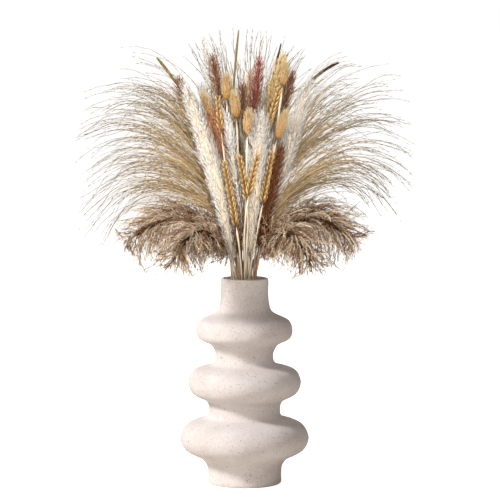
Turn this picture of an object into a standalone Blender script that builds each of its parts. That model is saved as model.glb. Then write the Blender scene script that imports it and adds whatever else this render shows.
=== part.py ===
"""A vase of pampas grass: a ringed stoneware vase and a tied bundle of dried grasses standing in it.

Units are metres, +Z is up. The origin is the middle of the vase's flat foot, on the surface it
stands on. -Y is the front of the arrangement. Every stalk is one grown piece: a thin stem that
stands on the floor of the vase, passes up the neck in a bundle and ends in its flower head.
"""

import math

import bmesh
import bpy
import numpy as np

# ---------------------------------------------------------------- vase

WALL = 0.0044  # thickness of the stoneware
FLOOR = 0.0055  # thickness of its floor
FOOT_ROUND = 0.0012  # worn edge round the foot
VASE_FACETS = 40  # straight sides in one turn
SPAN_STEPS = 2  # outline steps between two key points

# The outside, from foot to rim: radius and height. Three rings bulge between four waists.
VASE_OUTLINE = (
    (0.0384, 0.0012),
    (0.0384, 0.0110),
    (0.0397, 0.0188),
    (0.0457, 0.0264),
    (0.0616, 0.0350),
    (0.0672, 0.0475),
    (0.0612, 0.0605),
    (0.0495, 0.0662),
    (0.0391, 0.0698),
    (0.0373, 0.0775),
    (0.0401, 0.0864),
    (0.0538, 0.0939),
    (0.0590, 0.1060),
    (0.0536, 0.1180),
    (0.0425, 0.1224),
    (0.0322, 0.1260),
    (0.0300, 0.1350),
    (0.0350, 0.1452),
    (0.0476, 0.1520),
    (0.0500, 0.1610),
    (0.0466, 0.1702),
    (0.0376, 0.1750),
    (0.0288, 0.1800),
    (0.0260, 0.1872),
    (0.0249, 0.1970),
    (0.0249, 0.2128),
)
RIM_HEIGHT = 0.2150
INNER_FOOT_ROUND = 0.006  # the inside corner between floor and wall

# ---------------------------------------------------------------- bundle

GAP = 0.0003  # between pieces that touch
STALK_GAP = 0.0004  # kept between neighbouring stalks
SETTLE_ROUNDS = 420  # rounds in which pressed stalks bend aside
STEM_RADIUS = 0.00105  # the thickest stem
BUNDLE_TOP = 0.192  # the stems are upright from the floor of the vase to here
TIE_HEIGHT = 0.182
TIE_TURNS = 3
TIE_CORD = 0.0011  # radius of the twine

# ---------------------------------------------------------------- kinds of stalk

# The stem's radius, the head's widest radius, the head's shape (radius share along its length)
# and the number of rings in the head.
KINDS = {
    "silver_grass": (0.0010, 0.0070, ((0, 0.16), (0.2, 0.7), (0.45, 1.0), (0.75, 0.65), (1, 0.16)), 8),
    "brown_pampas": (0.00105, 0.0185, ((0, 0.06), (0.18, 0.5), (0.45, 1.0), (0.75, 0.85), (1, 0.2)), 8),
    "white_pampas": (0.00105, 0.0080, ((0, 0.2), (0.2, 0.6), (0.55, 1.0), (0.85, 0.7), (1, 0.12)), 8),
    "reed_plume": (0.0009, 0.0036, ((0, 0.3), (0.25, 0.9), (0.6, 1.0), (0.85, 0.6), (1, 0.15)), 6),
    "bunny_tail": (0.0008, 0.0042, ((0, 0.35), (0.15, 0.8), (0.45, 1.0), (0.8, 0.75), (1, 0.25)), 7),
    "wheat_ear": (0.0009, 0.0030, ((0, 0.4), (0.15, 0.9), (0.5, 1.0), (0.85, 0.75), (1, 0.25)), 6),
    "seed_spike": (0.0008, 0.0019, ((0, 0.45), (0.2, 0.9), (0.6, 1.0), (0.9, 0.7), (1, 0.25)), 6),
}
STEM_RINGS = 4  # between the neck and the head

# Where each head starts, the point it bends towards, and its tip, in metres, and its girth as a
# share of its kind's.
HEADS = {
    "white_pampas": (
        ((-0.013, -0.016, 0.236), (-0.025, -0.036, 0.330), (-0.060, -0.040, 0.412), 1.10),
        ((-0.022, 0.006, 0.330), (-0.031, 0.014, 0.395), (-0.043, 0.018, 0.460), 0.50),
        ((-0.003, -0.018, 0.262), (-0.006, -0.030, 0.330), (-0.017, -0.036, 0.382), 0.75),
        ((0.008, -0.016, 0.240), (0.015, -0.034, 0.310), (0.016, -0.040, 0.382), 1.15),
        ((0.015, -0.008, 0.262), (0.040, -0.024, 0.330), (0.066, -0.028, 0.418), 0.90),
        ((-0.008, 0.016, 0.262), (-0.022, 0.048, 0.340), (-0.046, 0.070, 0.410), 1.05),
        ((0.010, 0.016, 0.262), (0.026, 0.050, 0.340), (0.044, 0.066, 0.420), 1.00),
        ((0.001, 0.020, 0.262), (0.002, 0.062, 0.330), (-0.004, 0.088, 0.396), 1.00),
    ),
    "brown_pampas": (
        ((-0.016, -0.004, 0.237), (-0.062, -0.008, 0.305), (-0.124, -0.012, 0.252), 1.00),
        ((-0.016, -0.014, 0.236), (-0.047, -0.046, 0.296), (-0.074, -0.078, 0.236), 0.90),
        ((-0.012, 0.010, 0.240), (-0.058, 0.042, 0.310), (-0.106, 0.070, 0.266), 1.00),
        ((0.016, -0.004, 0.237), (0.060, -0.008, 0.305), (0.118, -0.012, 0.252), 1.00),
        ((0.013, -0.012, 0.235), (0.042, -0.046, 0.296), (0.068, -0.080, 0.234), 0.90),
        ((0.012, 0.010, 0.240), (0.058, 0.042, 0.310), (0.104, 0.072, 0.266), 1.00),
        ((-0.005, 0.016, 0.242), (-0.022, 0.064, 0.302), (-0.034, 0.110, 0.246), 0.95),
        ((0.006, 0.016, 0.242), (0.026, 0.062, 0.302), (0.042, 0.108, 0.246), 0.95),
    ),
    "silver_grass": (
        ((-0.041, 0.004, 0.338), (-0.100, 0.012, 0.428), (-0.153, 0.022, 0.400), 1.00),
        ((-0.043, -0.012, 0.322), (-0.108, -0.034, 0.395), (-0.164, -0.052, 0.352), 1.00),
        ((-0.041, 0.016, 0.308), (-0.108, 0.044, 0.372), (-0.161, 0.064, 0.316), 1.00),
        ((-0.036, -0.006, 0.292), (-0.106, -0.012, 0.345), (-0.164, -0.016, 0.284), 1.00),
        ((-0.034, -0.010, 0.346), (-0.070, -0.024, 0.424), (-0.118, -0.032, 0.420), 0.90),
        ((0.043, 0.004, 0.330), (0.106, 0.012, 0.412), (0.160, 0.022, 0.404), 1.00),
        ((0.045, -0.012, 0.306), (0.109, -0.034, 0.374), (0.165, -0.050, 0.322), 1.00),
        ((0.042, -0.012, 0.346), (0.074, -0.024, 0.428), (0.114, -0.030, 0.430), 0.90),
        ((0.038, 0.014, 0.290), (0.104, 0.040, 0.354), (0.154, 0.060, 0.304), 1.00),
        ((-0.012, 0.018, 0.360), (-0.022, 0.028, 0.430), (-0.034, 0.030, 0.466), 0.60),
        ((0.008, 0.020, 0.360), (0.014, 0.034, 0.430), (0.018, 0.040, 0.470), 0.60),
        ((0.018, 0.012, 0.360), (0.036, 0.020, 0.425), (0.056, 0.024, 0.452), 0.60),
        ((-0.028, 0.030, 0.322), (-0.072, 0.078, 0.400), (-0.106, 0.112, 0.366), 1.00),
        ((0.030, 0.030, 0.322), (0.074, 0.078, 0.400), (0.106, 0.112, 0.362), 1.00),
    ),
    "reed_plume": (
        ((-0.052, -0.006, 0.366), (-0.059, -0.007, 0.392), (-0.067, -0.008, 0.418), 1.00),
        ((-0.024, -0.006, 0.394), (-0.028, -0.006, 0.420), (-0.033, -0.006, 0.444), 1.10),
        ((0.000, -0.014, 0.376), (-0.001, -0.015, 0.396), (-0.002, -0.016, 0.415), 1.00),
        ((0.004, 0.004, 0.392), (0.004, 0.005, 0.408), (0.005, 0.006, 0.425), 0.90),
        ((0.008, -0.006, 0.384), (0.012, -0.007, 0.414), (0.016, -0.008, 0.442), 1.30),
        ((0.023, -0.004, 0.384), (0.032, -0.005, 0.414), (0.040, -0.006, 0.445), 1.60),
        ((0.040, 0.004, 0.384), (0.045, 0.005, 0.406), (0.050, 0.006, 0.427), 1.00),
        ((-0.020, -0.020, 0.328), (-0.026, -0.024, 0.354), (-0.033, -0.028, 0.379), 1.20),
        ((0.017, -0.018, 0.250), (0.018, -0.028, 0.300), (0.038, -0.032, 0.350), 1.40),
        ((-0.005, -0.018, 0.240), (-0.006, -0.024, 0.270), (-0.009, -0.028, 0.300), 1.30),
    ),
    "bunny_tail": (
        ((-0.018, -0.026, 0.400), (-0.018, -0.026, 0.412), (-0.018, -0.026, 0.424), 1.15),
        ((-0.0095, -0.034, 0.382), (-0.0097, -0.034, 0.394), (-0.010, -0.034, 0.406), 1.00),
        ((-0.033, -0.030, 0.383), (-0.037, -0.030, 0.394), (-0.042, -0.030, 0.405), 0.85),
        ((0.0045, -0.044, 0.366), (0.0045, -0.044, 0.377), (0.0045, -0.044, 0.388), 1.00),
        ((0.033, -0.038, 0.361), (0.037, -0.039, 0.374), (0.042, -0.040, 0.387), 1.05),
        ((0.040, -0.014, 0.415), (0.041, -0.014, 0.426), (0.042, -0.014, 0.436), 0.85),
        ((-0.030, 0.036, 0.390), (-0.033, 0.039, 0.402), (-0.036, 0.042, 0.414), 1.00),
    ),
    "wheat_ear": (
        ((-0.0085, -0.040, 0.272), (-0.014, -0.046, 0.306), (-0.0205, -0.050, 0.340), 1.15),
        ((0.0050, -0.046, 0.304), (0.009, -0.050, 0.325), (0.0138, -0.054, 0.346), 0.90),
        ((0.0018, -0.042, 0.298), (0.000, -0.046, 0.322), (-0.0055, -0.048, 0.344), 0.90),
        ((-0.0235, -0.036, 0.370), (-0.025, -0.036, 0.386), (-0.027, -0.036, 0.402), 1.10),
        ((0.0250, -0.026, 0.374), (0.030, -0.026, 0.392), (0.0355, -0.026, 0.410), 1.00),
        ((0.0180, -0.036, 0.296), (0.023, -0.044, 0.322), (0.0285, -0.046, 0.348), 1.00),
        ((0.020, 0.052, 0.330), (0.024, 0.060, 0.356), (0.030, 0.068, 0.382), 1.05),
    ),
    "seed_spike": (
        ((-0.068, -0.004, 0.414), (-0.079, -0.005, 0.430), (-0.090, -0.006, 0.443), 1.40),
        ((-0.013, 0.010, 0.398), (-0.010, 0.012, 0.435), (-0.006, 0.014, 0.472), 0.90),
        ((0.022, 0.008, 0.390), (0.030, 0.010, 0.424), (0.038, 0.012, 0.458), 0.90),
        ((0.064, -0.002, 0.416), (0.081, -0.003, 0.432), (0.097, -0.004, 0.438), 1.40),
    ),
}

# ---------------------------------------------------------------- finishes

# Base colour, roughness and metallic value.
FINISHES = {
    "stoneware": ((0.80, 0.75, 0.71), 0.85, 0.0),
    "jute": ((0.42, 0.30, 0.17), 0.95, 0.0),
    "silver_grass": ((0.60, 0.47, 0.32), 0.90, 0.0),
    "brown_pampas": ((0.38, 0.25, 0.15), 0.95, 0.0),
    "white_pampas": ((0.85, 0.80, 0.72), 0.95, 0.0),
    "reed_plume": ((0.22, 0.10, 0.07), 0.90, 0.0),
    "bunny_tail": ((0.63, 0.43, 0.20), 0.95, 0.0),
    "wheat_ear": ((0.62, 0.40, 0.16), 0.80, 0.0),
    "seed_spike": ((0.19, 0.13, 0.05), 0.85, 0.0),
}


def clear_scene():
    for old in list(bpy.data.objects):
        bpy.data.objects.remove(old)


def finish(name):
    """The material of that name, made the first time it is asked for."""
    made = bpy.data.materials.get(name)
    if made is None:
        colour, roughness, metallic = FINISHES[name]
        made = bpy.data.materials.new(name)
        made.use_nodes = True
        shader = made.node_tree.nodes["Principled BSDF"]
        shader.inputs["Base Color"].default_value = (*colour, 1.0)
        shader.inputs["Roughness"].default_value = roughness
        shader.inputs["Metallic"].default_value = metallic
        made.diffuse_color = (*colour, 1.0)
    return made


def add_object(name, data, finish_name):
    thing = bpy.data.objects.new(name, data)
    thing.data.materials.append(finish(finish_name))
    bpy.context.collection.objects.link(thing)
    return thing


# ---------------------------------------------------------------- curves


def smooth_through(points, steps):
    """A smooth curve through the points, with that many steps in each span."""
    keys = np.array(points, dtype=float)
    ends = np.vstack([2 * keys[0] - keys[1], keys, 2 * keys[-1] - keys[-2]])
    curve = []
    for before, start, end, after in zip(ends, ends[1:], ends[2:], ends[3:]):
        pull_in = (end - before) / 2
        pull_out = (after - start) / 2
        for step in range(steps):
            t = step / steps
            curve.append(
                (2 * t**3 - 3 * t**2 + 1) * start
                + (t**3 - 2 * t**2 + t) * pull_in
                + (3 * t**2 - 2 * t**3) * end
                + (t**3 - t**2) * pull_out
            )
    curve.append(keys[-1])
    return np.array(curve)


def moved_inwards(outline, distance):
    """The outline moved to its left, which is the inside of a profile that runs upwards."""
    run = np.gradient(outline, axis=0)
    run /= np.linalg.norm(run, axis=1)[:, None]
    return outline + distance * np.column_stack([-run[:, 1], run[:, 0]])


def bent_run(start, bend, end, steps):
    """Points on a parabola from start to end that heads for the bend first."""
    t = np.linspace(0, 1, steps + 1)[:, None]
    return (1 - t) ** 2 * start + 2 * t * (1 - t) * bend + t**2 * end


def rising_run(start, end, end_way, steps):
    """Points on a curve that leaves start straight up and reaches end along end_way."""
    pull = np.linalg.norm(end - start)
    t = np.linspace(0, 1, steps + 1)[:, None]
    return (
        (2 * t**3 - 3 * t**2 + 1) * start
        + (t**3 - 2 * t**2 + t) * pull * np.array([0.0, 0.0, 1.0])
        + (3 * t**2 - 2 * t**3) * end
        + (t**3 - t**2) * pull * end_way / np.linalg.norm(end_way)
    )


# ---------------------------------------------------------------- vase


def quarter_round(centre, radius, first_angle, steps):
    """Points on a quarter circle, from first_angle on anticlockwise, both ends included."""
    angles = first_angle + np.linspace(0, math.pi / 2, steps + 1)
    return np.column_stack([centre[0] + radius * np.cos(angles), centre[1] + radius * np.sin(angles)])


def turned_body(name, outline, facets, finish_name):
    """A solid of revolution about Z. The outline starts and ends on the axis."""
    shape = bmesh.new()
    ring = [shape.verts.new((radius, 0.0, height)) for radius, height in outline]
    edges = [shape.edges.new(pair) for pair in zip(ring, ring[1:])]
    bmesh.ops.spin(
        shape,
        geom=ring + edges,
        axis=(0, 0, 1),
        cent=(0, 0, 0),
        dvec=(0, 0, 0),
        angle=2 * math.pi,
        steps=facets,
        use_merge=True,
    )
    bmesh.ops.remove_doubles(shape, verts=shape.verts, dist=1e-6)
    bmesh.ops.recalc_face_normals(shape, faces=shape.faces)
    mesh = bpy.data.meshes.new(name)
    shape.to_mesh(mesh)
    shape.free()
    mesh.shade_smooth()
    mesh.set_sharp_from_angle(angle=math.radians(60))
    return add_object(name, mesh, finish_name)


def make_vase():
    outside = smooth_through(VASE_OUTLINE, SPAN_STEPS)
    inside = moved_inwards(outside, WALL)[::SPAN_STEPS]
    foot_corner = VASE_OUTLINE[0][0] - FOOT_ROUND
    neck_radius = VASE_OUTLINE[-1][0]
    lip = WALL / 2
    lip_centre = (neck_radius - lip, RIM_HEIGHT - lip)
    inner_corner = inside[0][0]
    inside = inside[inside[:, 1] > FLOOR + INNER_FOOT_ROUND]
    outline = [(0.0, 0.0), (foot_corner, 0.0)]
    outline += [tuple(point) for point in outside]
    outline += [tuple(point) for point in quarter_round(lip_centre, lip, 0.0, 3)]
    outline += [tuple(point) for point in quarter_round(lip_centre, lip, math.pi / 2, 3)[1:]]
    outline += [tuple(point) for point in inside[::-1][1:]]
    floor_centre = (inner_corner - INNER_FOOT_ROUND, FLOOR + INNER_FOOT_ROUND)
    outline += [tuple(point) for point in quarter_round(floor_centre, INNER_FOOT_ROUND, -math.pi / 2, 3)[::-1]]
    outline += [(0.0, FLOOR)]
    turned_body("vase", outline, VASE_FACETS, "stoneware")


# ---------------------------------------------------------------- bundle


def bundle_places(leans):
    """Where each stem stands in the bundle: packed round the axis, on the side it leans to."""
    count = len(leans)
    pitch = 2 * STEM_RADIUS + STALK_GAP
    reach = np.linalg.norm(leans, axis=1)
    order = np.argsort(np.argsort(reach))
    spread = pitch * math.sqrt(count) / 2
    places = leans / reach[:, None] * (spread * np.sqrt((order + 0.5) / count))[:, None]
    for _ in range(600):
        apart = places[:, None] - places[None, :]
        distance = np.linalg.norm(apart, axis=2) + np.eye(count)
        overlap = np.clip(pitch - distance, 0, None) * (1 - np.eye(count))
        places += (apart / distance[:, :, None] * overlap[:, :, None]).sum(axis=1) * 0.4
        places *= 1 - 0.002
    for _ in range(400):
        apart = places[:, None] - places[None, :]
        distance = np.linalg.norm(apart, axis=2) + np.eye(count)
        overlap = np.clip(pitch - distance, 0, None) * (1 - np.eye(count))
        places += (apart / distance[:, :, None] * overlap[:, :, None]).sum(axis=1) * 0.4
    return places


def closest_shares(a, b, c, d):
    """How far along a-b and along c-d the two segments come closest, as shares from 0 to 1."""
    u = b - a
    v = d - c
    w = a - c
    uu = (u * u).sum(1)
    uv = (u * v).sum(1)
    vv = (v * v).sum(1)
    uw = (u * w).sum(1)
    vw = (v * w).sum(1)
    slack = np.maximum(uu * vv - uv * uv, 1e-18)
    s = np.clip((uv * vw - vv * uw) / slack, 0, 1)
    t = np.clip((uv * s + vw) / vv, 0, 1)
    s = np.clip((uv * t - uw) / uu, 0, 1)
    return s, t


def settle(spines, girths, rounds):
    """Stalks that press on each other bend aside, above the neck, until each has room."""
    sizes = [len(spine) for spine in spines]
    starts = np.cumsum([0] + sizes[:-1])
    points = np.vstack(spines)
    radii = np.concatenate(girths)
    stalk = np.repeat(np.arange(len(spines)), sizes)
    first = np.concatenate([np.arange(start, start + size - 1) for start, size in zip(starts, sizes)])
    free = (points[:, 2] > BUNDLE_TOP + STALK_GAP).astype(float)[:, None]
    rest = points.copy()
    left, right = np.triu_indices(len(first), 1)
    keep = stalk[first[left]] != stalk[first[right]]
    left, right = first[left[keep]], first[right[keep]]
    for step in range(rounds):
        middle = (points[left] + points[left + 1] - points[right] - points[right + 1]) / 2
        half = np.linalg.norm(points[1:] - points[:-1], axis=1) / 2
        wide = np.maximum(radii[1:], radii[:-1])
        reach = half[left] + half[right] + wide[left] + wide[right] + STALK_GAP
        near = (middle * middle).sum(1) < reach * reach
        i, j = left[near], right[near]
        s, t = closest_shares(points[i], points[i + 1], points[j], points[j + 1])
        gap = (points[i] + s[:, None] * (points[i + 1] - points[i])) - (
            points[j] + t[:, None] * (points[j + 1] - points[j])
        )
        distance = np.maximum(np.linalg.norm(gap, axis=1), 1e-9)
        room = distance - (radii[i] + s * (radii[i + 1] - radii[i]))
        room -= radii[j] + t * (radii[j + 1] - radii[j])
        short = np.clip(STALK_GAP * 1.5 - room, 0, None)
        push = gap / distance[:, None] * short[:, None] * 0.5
        shift = np.zeros_like(points)
        weight = np.full(len(points), 1e-9)
        for ends, way, share in ((i, 1, 1 - s), (i + 1, 1, s), (j, -1, 1 - t), (j + 1, -1, t)):
            pressed = share * (short > 0)
            np.add.at(shift, ends, way * push * pressed[:, None])
            np.add.at(weight, ends, pressed)
        points += free * shift / np.maximum(weight, 1.0)[:, None] * 1.5
        if step < rounds * 0.7:
            bent = points - rest
            inner = np.ones(len(points), bool)
            inner[starts] = False
            inner[starts + np.array(sizes) - 1] = False
            k = np.flatnonzero(inner)
            points[k] += 0.08 * free[k] * ((bent[k - 1] + bent[k + 1]) / 2 - bent[k])
    return [points[start : start + size] for start, size in zip(starts, sizes)]


def stalk_spine(place, head, head_rings):
    """The middle line of a stalk, from the floor of the vase to its tip."""
    start, bend, tip = (np.array(point) for point in head)
    foot = np.array([*place, FLOOR + GAP])
    neck = np.array([*place, BUNDLE_TOP])
    return np.vstack(
        [
            foot[None, :],
            rising_run(neck, start, bend - start, STEM_RINGS)[:-1],
            bent_run(start, bend, tip, head_rings),
        ]
    )


def stalk_girth(kind, girth, head_rings):
    """The radius at each point of the middle line."""
    stem, widest, shape, _ = KINDS[kind]
    along = np.linspace(0, 1, head_rings + 1)
    shares = np.interp(along, [place for place, _ in shape], [share for _, share in shape])
    head = np.maximum(widest * girth * shares, stem * 0.6)
    return np.concatenate([np.full(STEM_RINGS + 1, stem), head])


def make_stalk(name, spine, girth, finish_name):
    """One grown stalk: a six-sided tube along its middle line, closed at both ends."""
    curve = bpy.data.curves.new(name, "CURVE")
    curve.dimensions = "3D"
    curve.bevel_depth = 1.0
    curve.bevel_resolution = 1
    curve.use_fill_caps = True
    line = curve.splines.new("POLY")
    line.points.add(len(spine) - 1)
    for point, place, radius in zip(line.points, spine, girth):
        point.co = (*place, 1.0)
        point.radius = radius
    return add_object(name, curve, finish_name)


def make_stalks():
    """All the stalks. Returns how far from the axis the bundle reaches."""
    kinds = [(kind, number, head) for kind, heads in HEADS.items() for number, head in enumerate(heads, 1)]
    leans = np.array([np.mean([point[:2] for point in head[:3]], axis=0) for _, _, head in kinds])
    places = bundle_places(leans)
    spines = []
    girths = []
    for (kind, _, head), place in zip(kinds, places):
        rings = KINDS[kind][3]
        spines.append(stalk_spine(place, head[:3], rings))
        girths.append(stalk_girth(kind, head[3], rings))
    spines = settle(spines, girths, SETTLE_ROUNDS)
    for (kind, number, _), spine, girth in zip(kinds, spines, girths):
        make_stalk(f"{kind}_{number}", spine, girth, kind)
    return np.linalg.norm(places, axis=1).max() + STEM_RADIUS


def make_tie(bundle_radius):
    """Twine wound round the bundle, its turns pressed into one band."""
    inner = bundle_radius + GAP
    depth = TIE_TURNS * 2 * TIE_CORD
    bottom = TIE_HEIGHT - depth / 2
    shape = bmesh.new()
    section = [(inner, bottom)]
    for turn in range(TIE_TURNS):
        middle = bottom + (2 * turn + 1) * TIE_CORD
        for angle in (-60, -20, 20, 60):
            bulge = math.radians(angle)
            section.append((inner + TIE_CORD * (1 + math.cos(bulge)), middle + TIE_CORD * math.sin(bulge)))
    section.append((inner, bottom + depth))
    ring = [shape.verts.new((radius, 0.0, height)) for radius, height in section]
    edges = [shape.edges.new((ring[k], ring[(k + 1) % len(ring)])) for k in range(len(ring))]
    bmesh.ops.spin(
        shape,
        geom=ring + edges,
        axis=(0, 0, 1),
        cent=(0, 0, 0),
        dvec=(0, 0, 0),
        angle=2 * math.pi,
        steps=24,
        use_merge=True,
    )
    bmesh.ops.remove_doubles(shape, verts=shape.verts, dist=1e-6)
    bmesh.ops.recalc_face_normals(shape, faces=shape.faces)
    mesh = bpy.data.meshes.new("twine_tie")
    shape.to_mesh(mesh)
    shape.free()
    mesh.shade_smooth()
    add_object("twine_tie", mesh, "jute")


def main():
    clear_scene()
    make_vase()
    bundle_radius = make_stalks()
    make_tie(bundle_radius)


main()
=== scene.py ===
"""A ringed stoneware vase with a tied bouquet of dried grasses, dressed and set on a stage.

The solid model gives every piece its place and its size. This script grows the branchlets,
hairs, spikelets and grains on each stalk, turns the vase and gives it its speckled clay, winds
the twine, and sets all of it on a pale floor in soft light. Units are metres, +Z is up and -Y
is the front. Each stalk is one piece: its stem, the core of its head, and what grows on it.
"""

import math

import bmesh
import bpy
import numpy as np
from bpy.props import FloatProperty, FloatVectorProperty, IntProperty, PointerProperty
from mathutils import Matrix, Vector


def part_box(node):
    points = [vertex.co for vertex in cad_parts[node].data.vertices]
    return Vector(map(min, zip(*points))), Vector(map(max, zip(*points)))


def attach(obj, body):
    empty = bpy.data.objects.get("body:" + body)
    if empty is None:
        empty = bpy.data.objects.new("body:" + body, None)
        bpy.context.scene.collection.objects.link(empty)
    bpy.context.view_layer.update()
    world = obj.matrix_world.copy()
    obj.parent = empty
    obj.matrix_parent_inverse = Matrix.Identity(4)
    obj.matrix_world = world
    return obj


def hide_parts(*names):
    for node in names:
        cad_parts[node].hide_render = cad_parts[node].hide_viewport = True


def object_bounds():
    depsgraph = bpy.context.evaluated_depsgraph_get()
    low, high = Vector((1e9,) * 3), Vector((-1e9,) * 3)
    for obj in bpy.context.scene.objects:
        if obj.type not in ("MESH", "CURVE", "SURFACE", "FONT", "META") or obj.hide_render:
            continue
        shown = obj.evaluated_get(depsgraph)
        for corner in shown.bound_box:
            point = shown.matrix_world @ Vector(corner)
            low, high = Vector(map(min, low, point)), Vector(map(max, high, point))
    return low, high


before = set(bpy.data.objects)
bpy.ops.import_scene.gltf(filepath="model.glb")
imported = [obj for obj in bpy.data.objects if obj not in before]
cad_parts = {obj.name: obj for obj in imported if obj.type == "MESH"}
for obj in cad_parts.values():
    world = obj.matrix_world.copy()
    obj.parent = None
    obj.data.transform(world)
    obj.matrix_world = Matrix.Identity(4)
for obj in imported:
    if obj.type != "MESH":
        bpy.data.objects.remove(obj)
CAD_BOX = [list(corner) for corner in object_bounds()]

bl_info = {
    "name": "Dried Arrangement",
    "version": (1, 0, 0),
    "blender": (4, 5, 0),
    "location": "3D View > Sidebar > Dried Arrangement",
    "description": "Dresses a vase of pampas grass, grasses, reed plumes, bunny tails and wheat",
    "category": "Object",
}

BODY = "root"
BAKE_MAP = "OFBake"  # the map that holds each strand's tone across and its length along
STEM_RINGS = 6  # rings of a stalk from its foot to the start of its head
STEP_ROUND = math.pi * (3 - math.sqrt(5))  # leaves that grow by this turn never line up
AIRY_PLUMES = (2,)  # the white plumes thin enough to see through
TUFTED_PLUMES = {3: 0.74}  # where up its head a plume's dense hair starts
CROWNED_PLUMES = {4: 1.4}  # how much longer its locks are at the top
FLUFFED_REEDS = {1: 1.6, 6: 1.35, 8: 2.8, 9: 1.8}  # how much longer and denser a reed plume's locks are
STANDS_PROUD = 0.007  # how far strands may reach past the solid model
FULL_FAN = 0.13  # a fan with a shorter head spreads less
TINY = 1e-6
SEAM = 0.00002  # points of the turned vase that lie closer than this are one
DOUBLED = 0.001  # how far apart the single ring of a blank is doubled
DECIMETRE = 0.1
UNEVEN = (0.7, 1.3)  # how much smaller or larger than its kind a strand may be
STEM_FIT = 0.97  # a stem's girth as a share of its solid's
CROWN_AT, CROWN_REACH = 0.8, 0.2  # the share of a head where its crown is fullest, and its extent

# How many points there are in the path that each even blank is laid along.
KNOTS = {"thread": 9, "long_thread": 15, "stem": 30, "core": 20, "twine": 152}

# Where each finish lies across the map: its start and its width.
BANDS = {"head": (0.02, 0.52), "thread": (0.57, 0.09), "core": (0.69, 0.10), "stem": (0.82, 0.16)}
MAP_EDGE = 0.02  # what strands keep clear of at the edges of the map and of their band
TONES_REACH, STRAND_REACH = 0.92, 0.04  # the shares of a band that all tones and one strand take


# ---------------------------------------------------------------- settings


def setting(make, **fixed):
    """A maker of settings of one sort; each has its name, description and default."""

    def one(name, text, default, **own):
        return make(name=name, description=text, default=default, **{**fixed, **own})

    return one


length = setting(FloatProperty, min=0.0, unit="LENGTH", precision=5)
share = setting(FloatProperty, min=0.0, max=1.0, subtype="FACTOR")
power = setting(FloatProperty, min=0.0, unit="POWER")
radians = setting(FloatProperty, subtype="ANGLE")
number = setting(IntProperty, min=1)
colour = setting(FloatVectorProperty, min=0.0, max=1.0, subtype="COLOR")


def angle(name, text, degrees):
    return radians(name, text, math.radians(degrees))


def strand_colours(inner, outer):
    """The settings for the colours of a head's strands; inner and outer give root and tip."""

    class StrandColours:
        near_root: colour("Inner root", "Colour of the inner strands' roots", inner[0])
        near_tip: colour("Inner tip", "Colour of the inner strands' tips", inner[1])
        far_root: colour("Outer root", "Colour of the outer strands' roots", outer[0])
        far_tip: colour("Outer tip", "Colour of the outer strands' tips", outer[1])

    return StrandColours


def fur(**own):
    """The settings for the hair of a furry head, with the kind's own values."""

    class Fur:
        locks: number("Locks", "Locks of hair on each decimetre of the head", own["locks"])
        lock: length("Lock length", "Length of a lock", own["lock"])
        lean: angle("Lean", "Angle between a lock and the head's axis", own["lean"])
        hairs: number("Hairs", "Hairs in each lock", own["hairs"])
        hair: length("Hair length", "Length of a hair", own["hair"])
        splay: angle("Splay", "Angle between a hair and its lock", own["splay"])
        girth: length("Hair girth", "Half the width of a hair at its root", own["girth"])
        core: share("Core", "Girth of the core as a share of the head's", own["core"])
        taper: share("Taper", "How much shorter locks are at the head's ends", own["taper"])
        glow: share("Glow", "How much light passes through the hairs", own["glow"])

    return Fur


class VaseLook(bpy.types.PropertyGroup):
    turn_steps: number("Steps round", "Faces in one turn of the vase", 108)
    outline_steps: number("Outline steps", "Faces between two rings of the solid vase", 2)
    clay: colour("Clay", "Colour of the bare stoneware", (0.680, 0.628, 0.606))
    clay_deep: colour("Deep clay", "Colour of its darker clouds", (0.540, 0.470, 0.433))
    speck: colour("Speck", "Colour of the iron specks", (0.17, 0.105, 0.07))
    fine_speck: length("Fine speck", "Width of the many small specks", 0.0010)
    bold_speck: length("Bold speck", "Width of the few large specks", 0.0019)
    roughness: share("Roughness", "How matte the bare clay is", 0.86)


class TwineLook(bpy.types.PropertyGroup):
    turns: number("Turns", "Turns of twine round the stems", 3)
    cord: length("Cord radius", "Radius of the twisted twine", 0.0011)
    twist: number("Twists", "Twists of its two plies in one turn", 9)
    fuzz: number("Fuzz", "Loose fibres on each ply", 260)
    fibre: length("Fibre length", "Length of a loose fibre", 0.0016)
    girth: length("Fibre girth", "Half the width of a loose fibre", 0.00006)
    lean: angle("Lean", "Angle between a loose fibre and its ply", 38)
    light: colour("Light fibre", "Colour of its light fibres", (0.52, 0.38, 0.22))
    dark: colour("Dark fibre", "Colour between its plies", (0.25, 0.16, 0.08))


class StemLook(bpy.types.PropertyGroup):
    straw: colour("Straw", "Colour of the palest stems", (0.88, 0.80, 0.62))
    copper: colour("Copper", "Colour of the reddest stems", (0.36, 0.17, 0.085))
    foot: colour("Foot", "Colour of their cut ends", (0.30, 0.22, 0.11))
    dark_foot: colour("Dark foot", "Colour of the reddest stems' cut ends", (0.14, 0.060, 0.030))


class WhitePampasLook(
    fur(
        locks=547, lock=0.0088, lean=35, hairs=10, hair=0.0058, splay=19, girth=0.00035,
        core=0.72, taper=0.15, glow=0.8,
    ),
    strand_colours(
        # The inner colours, a darker warm beige, are partly the plume's own tan and partly painted
        # shade for the deep parts of the plume.
        [(0.74, 0.60, 0.42), (0.86, 0.76, 0.60)], [(0.84, 0.775, 0.66), (0.90, 0.86, 0.77)]
    ),
    bpy.types.PropertyGroup,
):
    cream: colour("Cream", "Middle colour of the plumes at the back", (0.80, 0.60, 0.38))


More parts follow.
